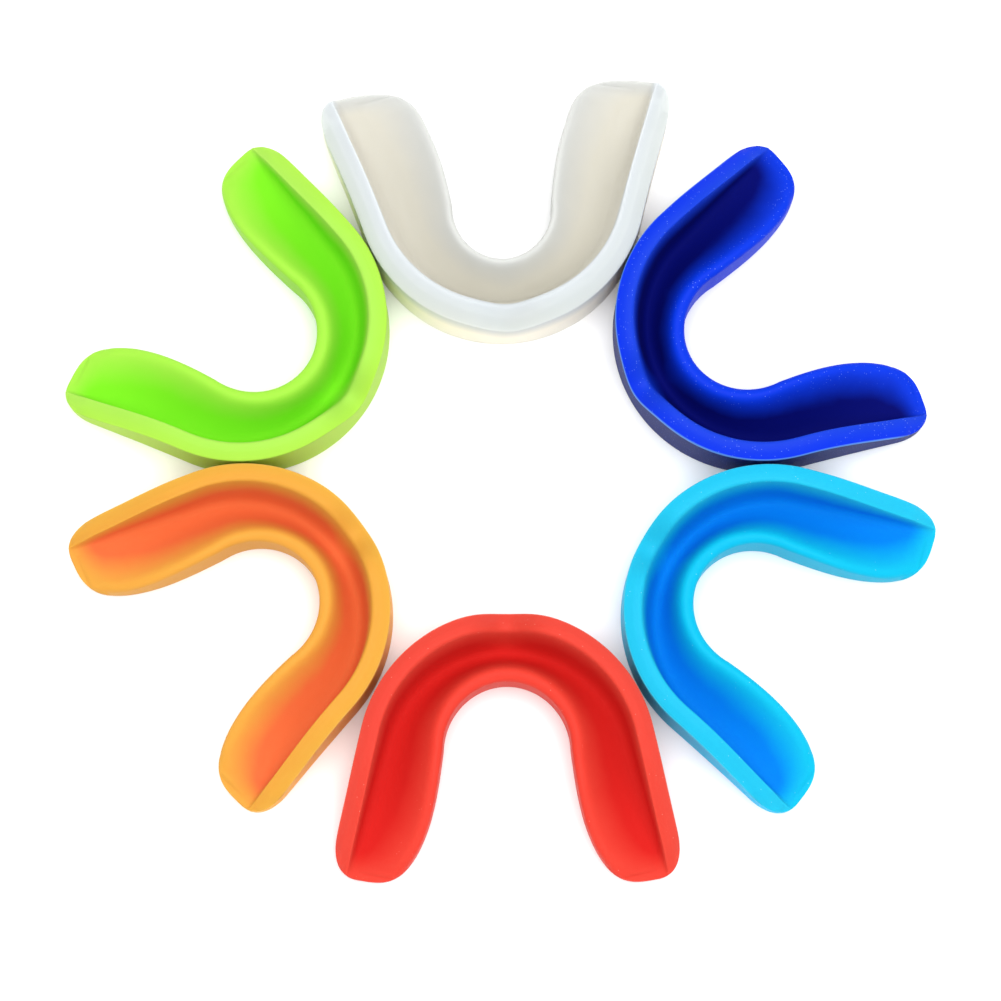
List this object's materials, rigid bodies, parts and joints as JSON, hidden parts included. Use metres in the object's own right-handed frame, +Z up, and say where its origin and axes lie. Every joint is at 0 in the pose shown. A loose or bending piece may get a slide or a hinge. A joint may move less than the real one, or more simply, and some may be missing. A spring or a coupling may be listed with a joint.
{
  "type": "mouthguard set",
  "caption": "U-shaped boil-and-bite mouthguards in different colours, laid in a ring with the bite channels up; each lifts straight out of the set.",
  "frame": {"origin": "on the plane that the guards lie on, under the middle of the whole set's box", "axes": "+Z up, out of the bite channels; +Y from the red guard towards the white guard; +X towards the dark blue and light blue guards"},
  "size_m": [0.1654, 0.1544, 0.0159],
  "materials": {
    "eva_white": "milky white moulded EVA, fine-grained and half matt, milky and a little see-through",
    "eva_navy": "dark blue moulded EVA, fine-grained and half matt",
    "eva_sky": "light blue moulded EVA, fine-grained and half matt",
    "eva_red": "red moulded EVA, fine-grained and half matt",
    "eva_orange": "orange moulded EVA, fine-grained and half matt",
    "eva_green": "light green moulded EVA, fine-grained and half matt"
  },
  "bodies": {
    "red": {"guard_red": "eva_red"},
    "white": {"guard_white": "eva_white"},
    "navy": {"guard_navy": "eva_navy"},
    "sky": {"guard_sky": "eva_sky"},
    "orange": {"guard_orange": "eva_orange"},
    "green": {"guard_green": "eva_green"}
  },
  "joints": [
    {"name": "white_lift", "type": "slide", "parent": "red", "child": "white", "axis": [0, 0, 1], "range_m": [0, 0.03]},
    {"name": "navy_lift", "type": "slide", "parent": "red", "child": "navy", "axis": [0, 0, 1], "range_m": [0, 0.03]},
    {"name": "sky_lift", "type": "slide", "parent": "red", "child": "sky", "axis": [0, 0, 1], "range_m": [0, 0.03]},
    {"name": "orange_lift", "type": "slide", "parent": "red", "child": "orange", "axis": [0, 0, 1], "range_m": [0, 0.03]},
    {"name": "green_lift", "type": "slide", "parent": "red", "child": "green", "axis": [0, 0, 1], "range_m": [0, 0.03]}
  ]
}
